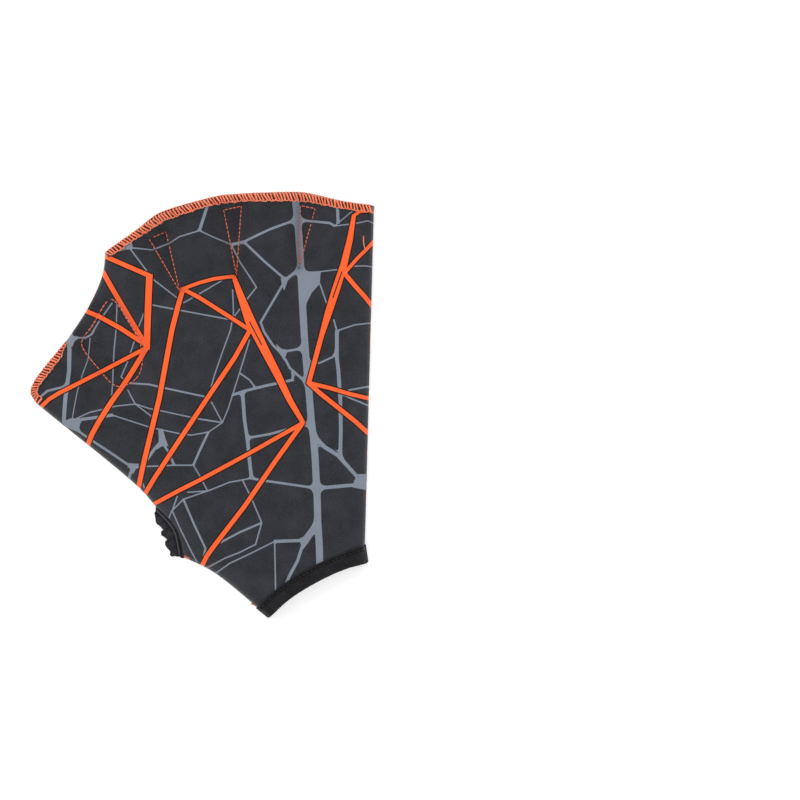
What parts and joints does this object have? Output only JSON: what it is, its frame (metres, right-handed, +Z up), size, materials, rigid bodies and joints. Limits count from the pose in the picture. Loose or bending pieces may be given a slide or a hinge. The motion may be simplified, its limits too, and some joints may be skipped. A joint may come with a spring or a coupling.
{
  "type": "webbed swim glove",
  "caption": "Fingerless webbed swim glove lying flat, palm up: two printed stretch panels sewn round, stitched finger webs, overlocked edges, gathered elastic at a side vent and a bound wrist",
  "frame": {"origin": "on the ground under the middle of the glove's box, as it lies flat with its palm up", "axes": "+X towards the little finger's side, +Y towards the fingers, +Z up from the palm"},
  "size_m": [0.1714, 0.2134, 0.0131],
  "materials": {
    "printed_stretch_cloth": "matt charcoal knit face, printed with crossing bright orange and grey lines",
    "overlock_thread": "bright orange spun thread with a soft sheen",
    "black_knit": "matt black ribbed knit"
  },
  "bodies": {
    "root": {"palm_panel": "printed_stretch_cloth", "back_panel": "printed_stretch_cloth", "finger_edge_overlock_palm": "overlock_thread", "finger_edge_overlock_back": "overlock_thread", "thumb_edge_overlock_palm": "overlock_thread", "thumb_edge_overlock_back": "overlock_thread", "wrist_binding": "black_knit", "gathered_trim": "black_knit"}
  },
  "joints": []
}
